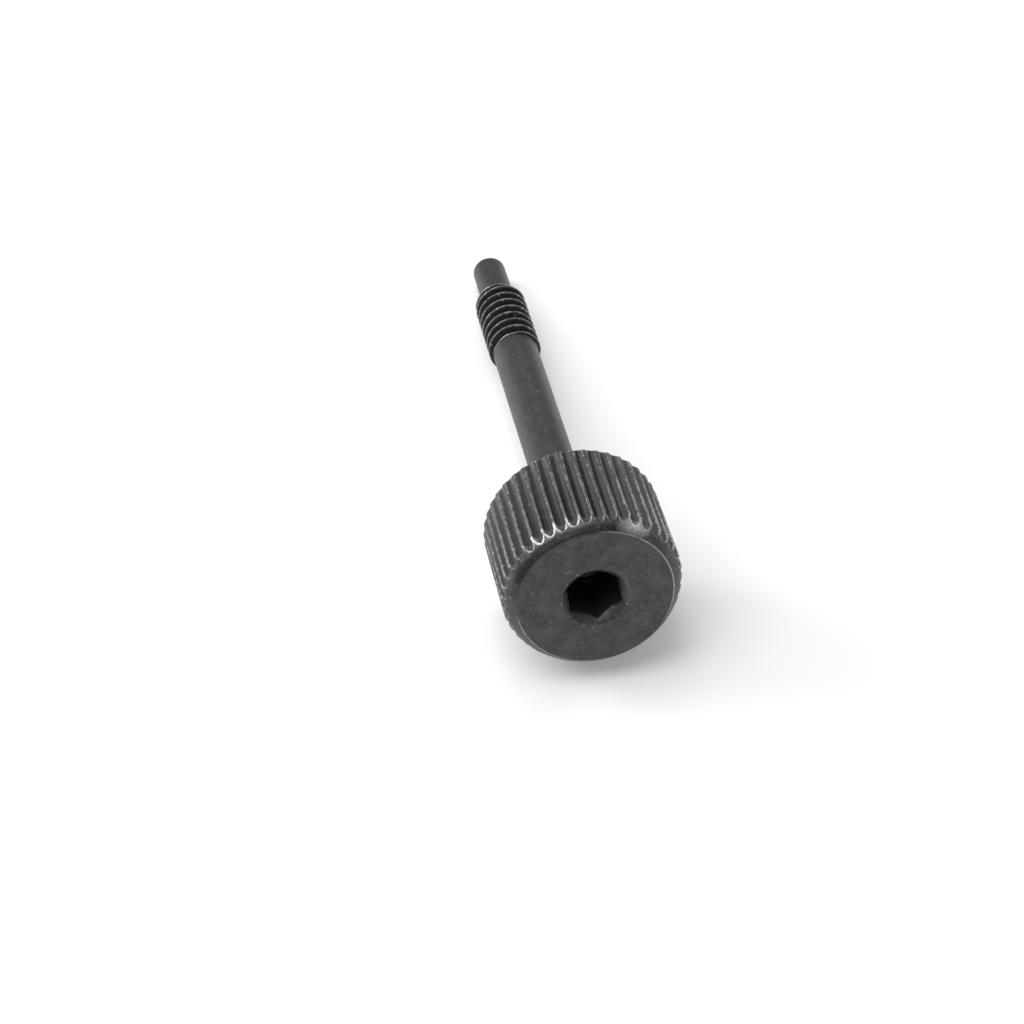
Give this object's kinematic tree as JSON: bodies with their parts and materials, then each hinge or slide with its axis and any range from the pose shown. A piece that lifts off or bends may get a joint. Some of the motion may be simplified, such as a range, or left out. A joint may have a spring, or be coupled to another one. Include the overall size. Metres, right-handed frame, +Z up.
{
  "type": "captive screw",
  "caption": "Steel captive screw with a straight-knurled cylindrical head, hexagon socket, waisted shank, short right-hand thread and plain dog point.",
  "frame": {"origin": "on the surface that the screw lies on, under the middle of its box", "axes": "+Z up; +Y along the lying screw, from the head towards the tip, which dips by 8 degrees; +X to the right of the head as seen from the head's end"},
  "size_m": [0.014, 0.05, 0.015],
  "materials": {
    "black_steel": "black oxide, satin, worn bright on the edges of the knurl"
  },
  "bodies": {
    "root": {"captive_screw": "black_steel"}
  },
  "joints": []
}
